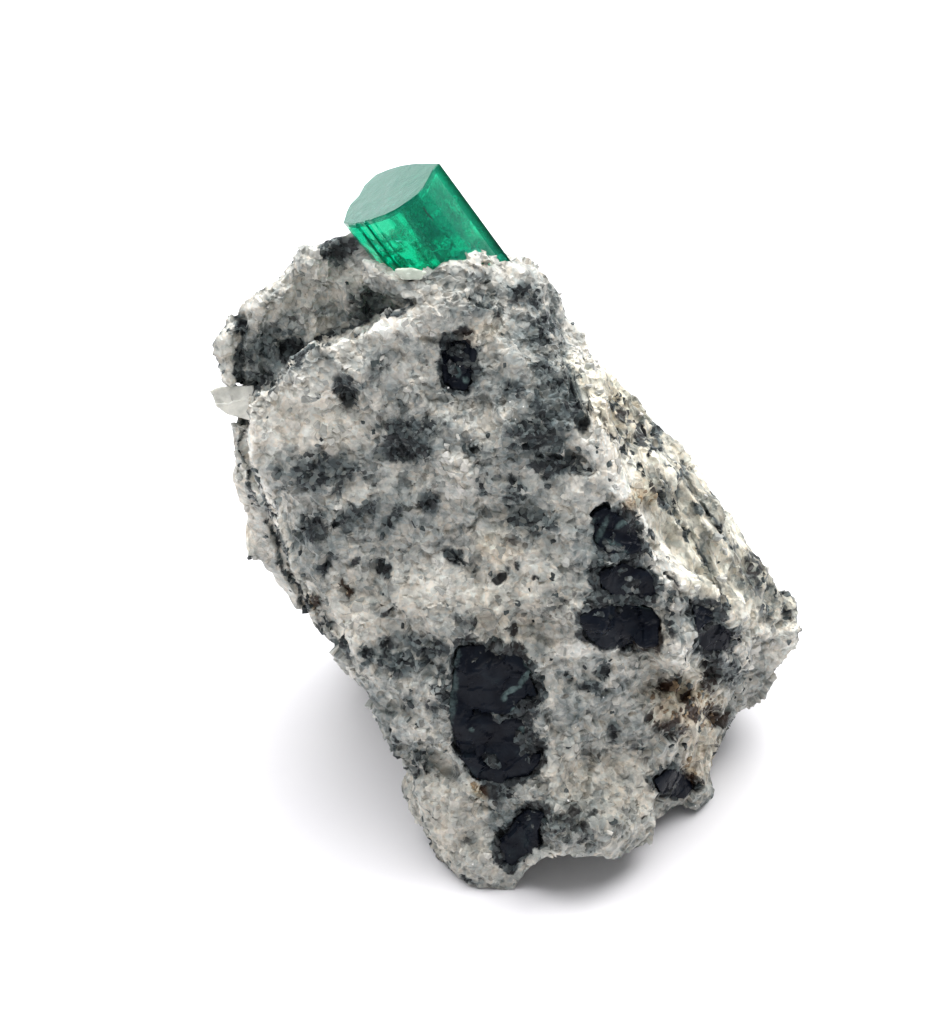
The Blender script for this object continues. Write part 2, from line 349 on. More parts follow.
class Builder:
    """Adds nodes to one node tree and links them."""

    def __init__(self, tree):
        self.tree = tree

    def add(self, kind, inputs=None, **settings):
        node = self.tree.nodes.new(kind)
        for name, value in settings.items():
            setattr(node, name, value)
        for name, value in (inputs or {}).items():
            self.feed(node.inputs[name], value)
        return node

    def feed(self, socket, value):
        """Link a socket to another, or give it a value. Colours are opaque."""
        if isinstance(value, bpy.types.NodeSocket):
            self.tree.links.new(value, socket)
        else:
            socket.default_value = (*value, 1.0) if socket.type == "RGBA" else value

    def math(self, operation, a, b=0.0, clamp=False):
        return self.add("ShaderNodeMath", {0: a, 1: b}, operation=operation, use_clamp=clamp).outputs[0]

    def plus(self, a, b, clamp=False):
        return self.math("ADD", a, b, clamp)

    def minus(self, a, b):
        return self.math("SUBTRACT", a, b)

    def times(self, a, b, clamp=False):
        return self.math("MULTIPLY", a, b, clamp)

    def weighted(self, total, fields, weights):
        """A number plus each of the named fields times its weight."""
        for name, weight in weights.items():
            total = self.plus(total, self.times(fields[name], weight))
        return total

    def vector(self, operation, a, b=(0.0, 0.0, 0.0)):
        node = self.add("ShaderNodeVectorMath", {0: a, 1: b}, operation=operation)
        return node.outputs["Value" if operation in ("DOT_PRODUCT", "LENGTH") else "Vector"]

    def scaled(self, vector, factor):
        return self.add("ShaderNodeVectorMath", {0: vector, "Scale": factor}, operation="SCALE").outputs[0]

    def between(self, value, low, high, out_low=0.0, out_high=1.0):
        """The value with low to high stretched to out_low to out_high, and held at both ends."""
        ends = {"From Min": low, "From Max": high, "To Min": out_low, "To Max": out_high}
        return self.add("ShaderNodeMapRange", {"Value": value, **ends}).outputs["Result"]

    def ramp(self, value, stops):
        node = self.add("ShaderNodeValToRGB", {"Fac": value})
        band = node.color_ramp
        while len(band.elements) < len(stops):
            band.elements.new(0.5)
        for element, (place, colour) in zip(band.elements, stops):
            element.position = place
            element.color = (*colour, 1.0)
        return node.outputs["Color"]

    def mix(self, factor, a, b, blend="MIX"):
        node = self.add("ShaderNodeMix", {0: factor, 6: a, 7: b}, data_type="RGBA", blend_type=blend)
        return node.outputs[2]

    def noise(self, place, size, detail=3.0, output="Fac"):
        """Noise with waves of about this many millimetres."""
        inputs = {"Vector": place, "Scale": cell_size(size), "Detail": detail, "Roughness": 0.6}
        return self.add("ShaderNodeTexNoise", inputs).outputs[output]

    def cells(self, place, size, feature="F1"):
        """Random cells about this many millimetres wide."""
        inputs = {"Vector": place, "Scale": cell_size(size)}
        return self.add("ShaderNodeTexVoronoi", inputs, feature=feature)

    def own_number(self, cells, factor):
        """A number from 0 to 1 that is the same all over a cell and has nothing to do with its tilt."""
        parts = self.add("ShaderNodeSeparateColor", {"Color": cells.outputs["Color"]})
        mixed = self.plus(self.times(parts.outputs[0], factor), self.times(parts.outputs[1], 9.7))
        return self.math("FRACT", mixed)

    def attribute(self, name, output="Fac"):
        return self.add("ShaderNodeAttribute", attribute_name=name).outputs[output]

    def named(self, name, kind="FLOAT"):
        """An attribute of the mesh, in geometry nodes."""
        return self.add("GeometryNodeInputNamedAttribute", {"Name": name}, data_type=kind).outputs[0]


def cell_size(size_mm):
    """Scale of a texture whose cells or waves are this many millimetres wide."""
    return 1.0 / (size_mm * MM)


def facet_height(nodes, place, size, slope, step):
    """Height of a broken surface: each cell is a flat facet with a tilt and a step of its own."""
    cells = nodes.cells(place, size)
    offset = nodes.vector("SUBTRACT", place, cells.outputs["Position"])
    tilt = nodes.vector("SUBTRACT", cells.outputs["Color"], COLOUR_MIDDLE)
    lean = nodes.times(nodes.vector("DOT_PRODUCT", offset, tilt), 2.0 * slope)
    own = nodes.add("ShaderNodeSeparateXYZ", {"Vector": tilt}).outputs["Y"]
    return nodes.plus(lean, nodes.times(own, step * MM))


def new_group(name, kind, inputs, outputs):
    """An empty node group with these sockets, as its builder, its start and its end."""
    tree = bpy.data.node_groups.new(name, kind)
    for way, sockets in (("INPUT", inputs), ("OUTPUT", outputs)):
        for label, socket in sockets.items():
            tree.interface.new_socket(name=label, in_out=way, socket_type=socket)
    nodes = Builder(tree)
    return nodes, nodes.add("NodeGroupInput"), nodes.add("NodeGroupOutput")


def facet_tree(name, facets):
    """Geometry nodes that push a surface in and out along its normals by broken facets."""
    nodes, start, end = new_group(name, "GeometryNodeTree", GEOMETRY, GEOMETRY)
    place = nodes.add("GeometryNodeInputPosition").outputs[0]
    normal = nodes.add("GeometryNodeInputNormal").outputs[0]
    bent = nodes.add("ShaderNodeTexNoise", {"Vector": place, "Scale": cell_size(0.5), "Detail": 2.0})
    bend = nodes.scaled(nodes.vector("SUBTRACT", bent.outputs["Color"], COLOUR_MIDDLE), 0.30 * MM)
    warped = nodes.vector("ADD", nodes.vector("ADD", place, bend), nodes.named("drawn", "FLOAT_VECTOR"))
    rest = nodes.add(
        "GeometryNodeStoreNamedAttribute",
        {"Geometry": start.outputs[0], "Name": "rest", "Value": warped}, data_type="FLOAT_VECTOR",
    )
    height = 0.0
    for facet in facets:
        height = nodes.plus(facet_height(nodes, warped, *facet), height)
    offset = nodes.scaled(normal, nodes.times(height, nodes.named("rough")))
    moved = nodes.add("GeometryNodeSetPosition", {"Geometry": rest.outputs[0], "Offset": offset})
    nodes.feed(end.inputs[0], moved.outputs[0])
    return nodes.tree


def scatter_tree(name, shard):
    """Geometry nodes that set a shard on every place, turned and sized as that place says."""
    nodes, start, end = new_group(name, "GeometryNodeTree", GEOMETRY, GEOMETRY)
    placed = nodes.add("GeometryNodeInstanceOnPoints", {
        "Points": start.outputs[0],
        "Instance": nodes.add("GeometryNodeObjectInfo", {"Object": shard}).outputs["Geometry"],
        "Rotation": nodes.named("turn", "FLOAT_VECTOR"), "Scale": nodes.named("size"),
    })
    real = nodes.add("GeometryNodeRealizeInstances", {"Geometry": placed.outputs[0]})
    nodes.feed(end.inputs[0], real.outputs[0])
    return nodes.tree


# ---------------------------------------------------------------- meshes

def place_on_plane(points):
    """Millimetres across, up the slope and out of the plane for points in metres, as the eye sees them."""
    offset = (points - np.array(PLANE_CENTRE)) / MM
    level = offset @ np.array(OUT)
    reach = EYE_DISTANCE / MM / (EYE_DISTANCE / MM - level)
    return offset @ np.array(ACROSS) * reach, offset @ np.array(UP_SLOPE) * reach, level


def on_plane(across, up):
    """The point of the display plane at a place in millimetres."""
    return PLANE_CENTRE + ACROSS * (across * MM) + UP_SLOPE * (up * MM)


def middle_of(places):
    return sum(places, Vector()) / len(places)


def mesh_points(mesh):
    points = np.empty(len(mesh.vertices) * 3)
    mesh.vertices.foreach_get("co", points)
    return points.reshape(-1, 3)


def mesh_normals(mesh):
    normals = np.empty(len(mesh.vertices) * 3)
    mesh.vertex_normals.foreach_get("vector", normals)
    return normals.reshape(-1, 3)


def move_points(mesh, points):
    mesh.vertices.foreach_set("co", points.ravel())
    mesh.update()


def read_values(mesh, name):
    values = np.empty(len(mesh.vertices))
    mesh.attributes[name].data.foreach_get("value", values)
    return values


def write_values(mesh, name, values):
    """Keep one number for each vertex of a mesh under a name."""
    layer = mesh.attributes.get(name) or mesh.attributes.new(name, "FLOAT", "POINT")
    layer.data.foreach_set("value", np.asarray(values, dtype=np.float32))


def write_vectors(mesh, name, vectors):
    """Keep one vector for each vertex of a mesh under a name."""
    layer = mesh.attributes.new(name, "FLOAT_VECTOR", "POINT")
    layer.data.foreach_set("vector", np.asarray(vectors, dtype=np.float32).ravel())


def smooth_step(low, high, values):
    """0 below low, 1 above high, and a smooth rise between. It falls where low is over high."""
    share = np.clip((values - low) / (high - low), 0.0, 1.0)
    return share * share * (3.0 - 2.0 * share)


def patch_strength(across, up, patches):
    """The strongest patch at each place: full in the middle of its ellipse, half on its edge."""
    total = np.zeros(len(across))
    for middle, height, half_width, half_height, turn, strength in patches:
        cosine, sine = math.cos(math.radians(turn)), math.sin(math.radians(turn))
        right, top = across - middle, up - height
        beside, above = right * cosine + top * sine, top * cosine - right * sine
        reach = np.hypot(beside / half_width, above / half_height)
        total = np.maximum(total, strength * smooth_step(1.6, 0.4, reach))
    return total


def distance_to_line(across, up, corners):
    """Distance (mm) from each place to a line through the corners."""
    nearest = np.full(len(across), 1e9)
    for (x0, y0), (x1, y1) in zip(corners, corners[1:]):
        run, rise = x1 - x0, y1 - y0
        share = ((across - x0) * run + (up - y0) * rise) / (run * run + rise * rise)
        share = np.clip(share, 0.0, 1.0)
        nearest = np.minimum(nearest, np.hypot(across - x0 - share * run, up - y0 - share * rise))
    return nearest


def line_strength(across, up, lines):
    """The strongest line at each place: full near the line, and gone at 1.6 of its half width."""
    total = np.zeros(len(across))
    for corners, half_width, _ in lines:
        reach = distance_to_line(across, up, corners)
        total = np.maximum(total, smooth_step(1.6 * half_width, 0.3 * half_width, reach))
    return total


def noise_values(points, size_mm, offset):
    """Smooth noise from -1 to 1 at each point, with waves of about this size."""
    shift = Vector((offset, 2.0 * offset, 3.0 * offset))
    factor = cell_size(size_mm)
    return np.array([noise.noise(Vector(point) * factor + shift) for point in points])


def rays_to_eye(points):
    """The direction from each point to the eye."""
    rays = np.array(EYE) - points
    return rays / np.linalg.norm(rays, axis=1)[:, None]


def facing_eye(points, normals):
    """1 where a surface faces the eye, 0 where it faces away."""
    return smooth_step(-0.1, 0.25, np.einsum("ij,ij->i", rays_to_eye(points), normals))


def merged_copy(node):
    """The shape of a CAD node with its loose triangles joined."""
    bm = bmesh.new()
    bm.from_mesh(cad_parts[node].data)
    bmesh.ops.remove_doubles(bm, verts=bm.verts, dist=0.002 * MM)
    bm.normal_update()
    return bm


def swell(bm, by, shift):
    """Move every vertex out along its normal by a distance, then all of them together."""
    for vert in bm.verts:
        vert.co += vert.normal * by + shift
    return bm


def join_meshes(shapes):
    """One bmesh that holds all the shapes, which it frees."""
    whole = bmesh.new()
    for shape in shapes:
        mesh = bpy.data.meshes.new("part")
        shape.to_mesh(mesh)
        shape.free()
        whole.from_mesh(mesh)
        bpy.data.meshes.remove(mesh)
    return whole


def node_surface(node):
    """The surface of a CAD node, to measure from."""
    bm = merged_copy(node)
    tree = bvhtree.BVHTree.FromBMesh(bm)
    bm.free()
    return tree


def near_node(points, node, margin_mm):
    """The numbers of the points within a margin of a CAD node's box."""
    low, high = np.array(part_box(node))
    margin = margin_mm * MM
    return np.flatnonzero(np.all((points > low - margin) & (points < high + margin), axis=1))


def new_object(name, data):
    obj = bpy.data.objects.new(name, data)
    bpy.context.scene.collection.objects.link(obj)
    return obj


def new_piece(name, bm, material):
    mesh = bpy.data.meshes.new(name)
    bm.to_mesh(mesh)
    bm.free()
    mesh.materials.append(material)
    return new_object(name, mesh)


def reshape(piece, name, kind, **settings):
    """Give a piece the shape that one modifier makes, and drop the modifier."""
    step = piece.modifiers.new(name, kind)
    for setting, value in settings.items():
        setattr(step, setting, value)
    bpy.context.view_layer.update()
    graph = bpy.context.evaluated_depsgraph_get()
    mesh = bpy.data.meshes.new_from_object(piece.evaluated_get(graph))
    mesh.name = piece.name
    old = piece.data
    piece.modifiers.clear()
    piece.data = mesh
    bpy.data.meshes.remove(old)


def remesh(piece, voxel_mm):
    reshape(piece, "even faces", "REMESH", mode="VOXEL", voxel_size=voxel_mm * MM)


def soften(piece, rounds):
    reshape(piece, "soften", "SMOOTH", iterations=rounds, factor=0.5)


def roughen(piece, tree):
    reshape(piece, "broken facets", "NODES", node_group=tree)


def thin_out(piece, faces):
    """Drop faces until this many triangles are left, most of them from what the eye doesn't see."""
    behind = piece.vertex_groups.new(name="behind")
    hidden = 1.0 - 0.85 * facing_eye(mesh_points(piece.data), mesh_normals(piece.data))
    for level in np.unique(np.round(hidden, 2)):
        members = np.flatnonzero(np.abs(hidden - level) <= 0.005)
        behind.add(members.tolist(), float(level), "REPLACE")
    triangles = sum(len(face.vertices) - 2 for face in piece.data.polygons)
    ratio = min(1.0, faces / triangles)
    reshape(piece, "fewer faces", "DECIMATE", ratio=ratio, vertex_group=behind.name)
    piece.vertex_groups.clear()


# ---------------------------------------------------------------- rock

def trim_edges(mesh, lift):
    """Let the foot overhang, step the lower left edge in, and lower the brow below the emerald."""
    points = mesh_points(mesh)
    across, up, level = place_on_plane(points)
    rays = rays_to_eye(points)
    reach = smooth_step(2.2, 4.2, across) * smooth_step(12.5, 9.0, across) * smooth_step(-11.5, -16.5, up)
    reach *= smooth_step(-9.5, -6.0, level)
    points += rays * (OVERHANG * MM * reach)[:, None]
    rise = lift * np.interp(across, FOOT_RISE_ACROSS, FOOT_RISE) * smooth_step(-10.0, -6.0, level)
    points[:, 2] += rise * MM * smooth_step(7.0, 0.0, points[:, 2] / MM)
    beyond = across - np.interp(up, EDGE_UP, EDGE_ACROSS)
    points[:, 0] += np.interp(up, EDGE_STEP_UP, EDGE_STEP) * smooth_step(5.0, 0.0, beyond) * MM
    brow = smooth_step(1.5, 0.1, np.hypot((across + 3.4) / 2.0, (up - 13.2) / 1.5))
    points -= np.array(UP_SLOPE) * (BROW_DROP * MM * brow)[:, None]
    move_points(mesh, points)


def carve_display_face(mesh):
    """Raise the lips, sink the cracks and pits, and pull in the pockets of the black crystals."""
    points, normals = mesh_points(mesh), mesh_normals(mesh)
    across, up, level = place_on_plane(points)
    facing = facing_eye(points, normals)
    wander = 0.22 * noise_values(points, 1.1, 3.0)
    bent = across + wander, up - wander
    height = np.zeros(len(points))
    for corners, half_width, rise in LIPS:
        height += rise * smooth_step(2.0 * half_width, 0.0, distance_to_line(*bent, corners))
    for corners, half_width, depth in CRACKS:
        height -= depth * smooth_step(2.0 * half_width, 0.2 * half_width, distance_to_line(*bent, corners))
    for middle, place, radius, depth in PITS:
        reach = np.hypot(bent[0] - middle, bent[1] - place)
        height -= depth * smooth_step(1.3 * radius, 0.4 * radius, reach)
    height += 0.35 * flank_share(across, up) * flank_streaks(across, up, level)
    height *= facing
    cover = patch_strength(*bent, TONGUES)
    height += 0.14 * cover * facing
    height -= POCKET_DEPTH * smooth_step(0.18, 0.04, read_values(mesh, "gap") - wander + 0.6 * cover)
    move_points(mesh, points + normals * height[:, None] * MM)


def flank_share(across, up):
    """1 on the layered flank to the right of the display face, 0 on the face itself."""
    beyond = (across - 5.6) * FALL + (up - 4.6) * RUN
    return smooth_step(0.0, 0.9, beyond) * smooth_step(-7.0, -4.0, up) * smooth_step(8.6, 6.8, up)


def flank_streaks(across, up, level):
    """Sharp ridges from -1 to 1, drawn out along the layers of the flank."""
    along = across * RUN - up * FALL
    beside = across * FALL + up * RUN
    places = list(zip(along.tolist(), beside.tolist(), level.tolist()))
    wide = np.array([noise.noise(Vector((a / 3.2, b / 0.75, c / 1.3))) for a, b, c in places])
    thin = np.array([noise.noise(Vector((a / 2.0 + 7.0, b / 0.36, c / 0.8))) for a, b, c in places])
    return 1.2 * (0.5 - 2.0 * np.abs(wide)) + 0.6 * thin


def store_nearness(mesh):
    """Keep each place's distance (mm) to the nearest black crystal."""
    points = mesh_points(mesh)
    gaps = np.full(len(points), 9.0)
    for node in BLACK_CRYSTALS:
        surface = node_surface(node)
        for index in near_node(points, node, 1.8):
            gaps[index] = min(gaps[index], surface.find_nearest(Vector(points[index]))[3] / MM)
    write_values(mesh, "gap", gaps)


def grip_emerald(mesh):
    """Pull the walls of the emerald's socket in until they touch the crystal."""
    surface = node_surface("emerald_crystal")
    points = mesh_points(mesh)
    for index in near_node(points, "emerald_crystal", 1.0):
        point = Vector(points[index])
        nearest, normal, _, gap = surface.find_nearest(point)
        if (point - nearest).dot(normal) < 0.0:
            continue
        pull = min(1.0, max(0.0, (0.75 - gap / MM) / 0.4))
        points[index] = point.lerp(nearest - normal * GRIP_DEPTH * MM, pull)
    move_points(mesh, points)


def loosen_grain(mesh):
    """Say how rough each place is, and draw the grains of the flank out along its layers."""
    points = mesh_points(mesh)
    across, up, _ = place_on_plane(points)
    edge = np.interp(up, LOBE_UP, LOBE_ACROSS)
    lobe = smooth_step(0.3, -0.3, across - edge) * smooth_step(5.6, 4.6, up)
    write_values(mesh, "lobe", lobe * facing_eye(points, mesh_normals(mesh)))
    beyond = flank_share(across, up)
    even = 0.3 * patch_strength(across, up, PALE_PATCHES)
    write_values(mesh, "rough", 1.0 - 0.75 * lobe - 0.55 * beyond - even * (1.0 - np.maximum(lobe, beyond)))
    layers = np.array(LAYERS)
    along = (points - np.array(PLANE_CENTRE)) @ layers - FLANK_MIDDLE * MM
    write_vectors(mesh, "drawn", -layers[None, :] * (0.22 * along * beyond)[:, None])


def mark_rock(mesh):
    """Keep what the rock's finish needs at each place: its patches, lips, flank and streaks."""
    rest = mesh_points(mesh)
    across, up, level = place_on_plane(rest)
    facing = facing_eye(rest, mesh_normals(mesh))
    wander = 0.50 * noise_values(rest, 1.6, 9.0) + 0.30 * noise_values(rest, 0.6, 31.0)
    swirl = 0.50 * noise_values(rest, 1.6, 17.0) + 0.30 * noise_values(rest, 0.6, 43.0)
    place = across + wander, up + swirl
    dark = np.maximum(patch_strength(*place, DARK_PATCHES), 0.9 * line_strength(*place, CRACKS)) * facing
    halo = smooth_step(0.62, 0.27, read_values(mesh, "gap") - 0.8 * swirl)
    unseen = (1.0 - facing) * smooth_step(0.0, 0.35, noise_values(rest, 3.2, 57.0) + 0.25 * wander)
    write_values(mesh, "dark", np.maximum(np.maximum(dark, halo), 0.7 * unseen))
    write_values(mesh, "grey", patch_strength(*place, GREY_PATCHES) * facing + 0.4 * (1.0 - facing))
    write_values(mesh, "pale", patch_strength(*place, PALE_PATCHES) * facing)
    write_values(mesh, "warm", patch_strength(*place, WARM_PATCHES) * facing)
    write_values(mesh, "lip", line_strength(*place, LIPS) * facing)
    write_values(mesh, "flank", flank_share(*place) * facing)
    write_values(mesh, "streak", flank_share(*place) * flank_streaks(*place, level) * facing)


def make_rock(material):
    """The matrix: the CAD rock with its sockets filled, broken into facets and grains."""
    shapes = [merged_copy("matrix_rock")]
    sunk = -SOCKET_SINK * MM * OUT
    shapes += [swell(merged_copy(node), SOCKET_FILL * MM, sunk) for node in BLACK_CRYSTALS]
    shapes += [swell(merged_copy(node), CHIP_FILL * MM, move) for node, move in CHIP_BEDS]
    rock = new_piece("granular_rock", join_meshes(shapes), material)
    remesh(rock, ROCK_VOXEL)
    soften(rock, 6)
    store_nearness(rock.data)
    trim_edges(rock.data, 1.0)
    carve_display_face(rock.data)
    loosen_grain(rock.data)
    roughen(rock, facet_tree("rock facets", ROCK_FACETS))
    thin_out(rock, ROCK_FACES)
    grip_emerald(rock.data)
    points = mesh_points(rock.data)
    points[:, 2] = np.maximum(points[:, 2], 0.0)
    move_points(rock.data, points)
    mark_rock(rock.data)
    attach(rock, "root")
    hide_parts("matrix_rock")
    return rock


# ---------------------------------------------------------------- grains

def make_shard(seed, material):
    """A broken grain a millimetre wide: a block cut flat on several sides."""
    draw = random.Random(seed)
    bm = bmesh.new()
    bmesh.ops.create_cube(bm, size=0.9 * MM, matrix=Matrix.Diagonal((1.0, 0.8, 0.55, 1.0)))
    for _ in range(7):
        facing = Vector((draw.gauss(0.0, 1.0), draw.gauss(0.0, 1.0), draw.gauss(0.0, 1.0))).normalized()
        place = facing * draw.uniform(0.22, 0.40) * MM
        whole = bm.verts[:] + bm.edges[:] + bm.faces[:]
        cut = bmesh.ops.bisect_plane(bm, geom=whole, plane_co=place, plane_no=facing, clear_outer=True)
        rim = [item for item in cut["geom_cut"] if isinstance(item, bmesh.types.BMEdge)]
        bmesh.ops.holes_fill(bm, edges=rim, sides=0)
    bmesh.ops.recalc_face_normals(bm, faces=bm.faces)
    return new_piece("shard", bm, material)


def nearest_places(mesh, places):
    """The vertex in view nearest to each place on the display plane."""
    across, up, _ = place_on_plane(mesh_points(mesh))
    away = 9.0 * (facing_eye(mesh_points(mesh), mesh_normals(mesh)) < 0.6)
    return [int(np.argmin(np.hypot(across - s, up - t) + away)) for s, t in places]


def make_grains(rock, name, seed, material, likely, widths, set_out=()):
    """Broken grains half sunk in the rock: so many drawn by likelihood, and some at places of their own."""
    count, narrow, wide = widths
    draw = np.random.default_rng(seed)
    chosen = draw.choice(len(likely), count, replace=False, p=likely / likely.sum())
    chosen = np.concatenate([chosen, nearest_places(rock.data, set_out)]).astype(int)
    sizes = draw.uniform(narrow, wide, len(chosen))
    sink = mesh_normals(rock.data)[chosen] * (0.20 * MM * sizes)[:, None]
    mesh = bpy.data.meshes.new(name)
    mesh.vertices.add(len(chosen))
    move_points(mesh, mesh_points(rock.data)[chosen] - sink)
    write_vectors(mesh, "turn", draw.uniform(0.0, math.tau, (len(chosen), 3)))
    write_values(mesh, "size", sizes)
    write_values(mesh, "own", draw.random(len(chosen)))
    write_values(mesh, "warm", read_values(rock.data, "warm")[chosen])
    piece = new_object(name, mesh)
    shard = make_shard(seed, material)
    roughen(piece, scatter_tree(name, shard))
    bpy.data.objects.remove(shard)
    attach(piece, "root")


def scatter_grains(rock, relief, stain):
    """Pale, dark, rusty and sparkling grains, each kind where the rock calls for it."""
    points = mesh_points(rock.data)
    emerald = middle_of([Vector(end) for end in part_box("emerald_crystal")])
    clear = np.linalg.norm(points - np.array(emerald), axis=1) > CLEAR_OF_EMERALD * MM
    gap, dark, pale, warm = (read_values(rock.data, name) for name in ("gap", "dark", "pale", "warm"))
    free = (points[:, 2] > 1.0 * MM) * (gap > 0.25) * clear
    kinds = (
        ("pale_grains", 21, free * (0.08 + pale) * (1.0 - dark) ** 4, (450, 0.28, 0.70)),
        ("dark_grains", 22, free * (0.08 + dark), (420, 0.20, 0.50)),
        ("rusty_grains", 23, free * np.maximum(warm - 0.4, 0.0), (70, 0.22, 0.5)),
        ("sparkles", 24, free * 1.0, (25, 0.10, 0.18), SPARKLES),
    )
    for name, seed, *choice in kinds:
        material = grain_material(name.replace("_", " "), relief, stain, GRAIN_LOOKS[name])
        make_grains(rock, name, seed, material, *choice)


# ---------------------------------------------------------------- crystals

def make_black_crystal(node, material, tree):
    """A crystal broken off a little below the rock's surface, with stepped cleavage facets."""
    bm = swell(merged_copy(node), CRYSTAL_GROWTH * MM, -CRYSTAL_SINK * MM * OUT)
    piece = new_piece(node.replace("black_crystal", "tourmaline"), bm, material)
    remesh(piece, CRYSTAL_VOXEL)
    trim_edges(piece.data, 0.3)
    soften(piece, 4)
    write_values(piece.data, "rough", np.ones(len(piece.data.vertices)))
    roughen(piece, tree)
    across, up, _ = place_on_plane(mesh_points(piece.data))
    write_values(piece.data, "veil", patch_strength(across, up, VEIL_PATCHES))
    write_values(piece.data, "warm", patch_strength(across, up, CRYSTAL_RUST))
    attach(piece, "root")
    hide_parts(node)


def make_pale_chip(node, material, tree):
    """A worn quartz chip, as tall and as far up the slope as CHIP_FIT says."""
    bm = swell(merged_copy(node), CHIP_GROWTH * MM, Vector())
    middle = middle_of([vert.co for vert in bm.verts])
    tall, shift = CHIP_FIT[node]
    for vert in bm.verts:
        rise = (vert.co - middle).dot(UP_SLOPE)
        vert.co += UP_SLOPE * (rise * (tall - 1.0) + shift * MM)
    piece = new_piece(node.replace("pale_chip", "quartz_chip"), bm, material)
    remesh(piece, CHIP_VOXEL)
    write_values(piece.data, "rough", np.full(len(piece.data.vertices), 0.5))
    roughen(piece, tree)
    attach(piece, "root")
    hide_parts(node)


# ---------------------------------------------------------------- emerald

def emerald_end():
    """A corner of the emerald's flat end, the way that end faces, and the length, from the CAD node."""
    bm = merged_copy("emerald_crystal")
    bmesh.ops.dissolve_limit(bm, angle_limit=math.radians(2.0), verts=bm.verts, edges=bm.edges)
    outward = (OUT * 0.36 + UP_SLOPE * 0.74 - ACROSS * 0.56).normalized()
    face = max(bm.faces, key=lambda item: item.normal.dot(outward) * item.calc_area())
    corner, axis = face.verts[0].co.copy(), face.normal.copy()
    depth = max((corner - vert.co).dot(axis) for vert in bm.verts)
    bm.free()
    return corner, axis, depth


def seen_on(corner, axis, across, up):
    """Where a place of the display plane lines up with the plane through a corner, square to an axis."""
    ray = on_plane(across, up) - EYE
    return EYE + ray * ((corner - EYE).dot(axis) / ray.dot(axis))


def striated_outline(corners, axis, draw):
    """The outline with each side split into narrow strips that step in and out a little."""
    outline = []
    for start, end in zip(corners, corners[1:] + corners[:1]):
        along = end - start
        outward = along.cross(axis).normalized()
        outline.append(start.copy())
        done = draw.uniform(0.3, 0.8) * MM
        while done < along.length - 0.3 * MM:
            place = start + along.normalized() * done
            outline.append(place + outward * draw.uniform(-0.010, 0.004) * MM)
            done += draw.uniform(0.3, 0.8) * MM
    return outline


def drawn_out(outline, way):
    """A solid made from a flat outline, drawn out by a vector."""
    bm = bmesh.new()
    cap = bm.faces.new([bm.verts.new(place) for place in outline])
    side = bmesh.ops.extrude_face_region(bm, geom=[cap])["geom"]
    far = [item for item in side if isinstance(item, bmesh.types.BMVert)]
    bmesh.ops.translate(bm, verts=far, vec=way)
    bmesh.ops.recalc_face_normals(bm, faces=bm.faces)
    return bm


def make_emerald(material):
    """The prism, from its end's outline down into the rock. Also the outline, its axis and its length."""
    corner, axis, depth = emerald_end()
    corners = [seen_on(corner, axis, *place) for place in EMERALD_END]
    outline = striated_outline(corners, axis, random.Random(12))
    bm = drawn_out(outline, -axis * depth)
    rim = [
        edge for edge in bm.edges
        if all(abs((vert.co - corner).dot(axis)) < 0.02 * MM for vert in edge.verts)
    ]
    bmesh.ops.bevel(bm, geom=rim, offset=0.06 * MM, segments=2, profile=0.5, affect="EDGES", material=-1)
    piece = new_piece("emerald_prism", bm, material)
    piece.data.set_sharp_from_angle(angle=math.radians(8.0))
    write_own_frame(piece.data, outline, axis)
    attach(piece, "root")
    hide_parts("emerald_crystal")
    make_rift(piece, axis)
    return outline, axis, depth


def right_edge(outline):
    """The middle of an outline, its corner furthest right, and the direction from one to the other."""
    middle = middle_of(outline)
    corner = max(outline, key=ACROSS.dot)
    return middle, corner, (corner - middle).normalized()


def write_own_frame(mesh, outline, axis):
    """Keep each place along the emerald and across it (m), and how far inside its right edge it is (mm)."""
    origin, corner, outward = right_edge(outline)
    across = axis.cross(UP_SLOPE).normalized()
    frame_rows = np.array([axis, across, axis.cross(across)])
    write_vectors(mesh, "own", (mesh_points(mesh) - np.array(origin)) @ frame_rows.T)
    write_values(mesh, "inward", (np.array(corner) - mesh_points(mesh)) @ np.array(outward) / MM)


def add_ball(bm, place, turn, widths, detail):
    """An ellipsoid with these widths (m), turned and set in its place, as its vertices."""
    matrix = Matrix.Translation(place) @ turn @ Matrix.Diagonal((*widths, 1.0))
    return bmesh.ops.create_icosphere(bm, subdivisions=detail, radius=0.5, matrix=matrix)["verts"]


def facing_along(direction):
    """The turn that points a piece's own Z in a direction."""
    return direction.to_track_quat("Z", "Y").to_matrix().to_4x4()


def make_rift(prism, axis):
    """A short dark crack in the emerald's front, as a sliver that fills it."""
    corners = [vert.co for vert in prism.data.vertices]
    tree = bvhtree.BVHTree.FromPolygons(corners, [tuple(face.vertices) for face in prism.data.polygons])
    ray = (on_plane(*RIFT) - EYE).normalized()
    place = tree.ray_cast(EYE, ray)[0] + ray * 0.02 * MM
    bm = bmesh.new()
    for vert in add_ball(bm, place, facing_along(axis), Vector((0.11, 0.11, 0.95)) * MM, 3):
        vert.co += noise.noise_vector(vert.co * cell_size(0.25)) * (0.03 * MM)
    piece = new_piece("emerald_rift", bm, veil_material("emerald rift", (0.004, 0.06, 0.045), (0.85, 1.0)))
    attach(piece, "root")


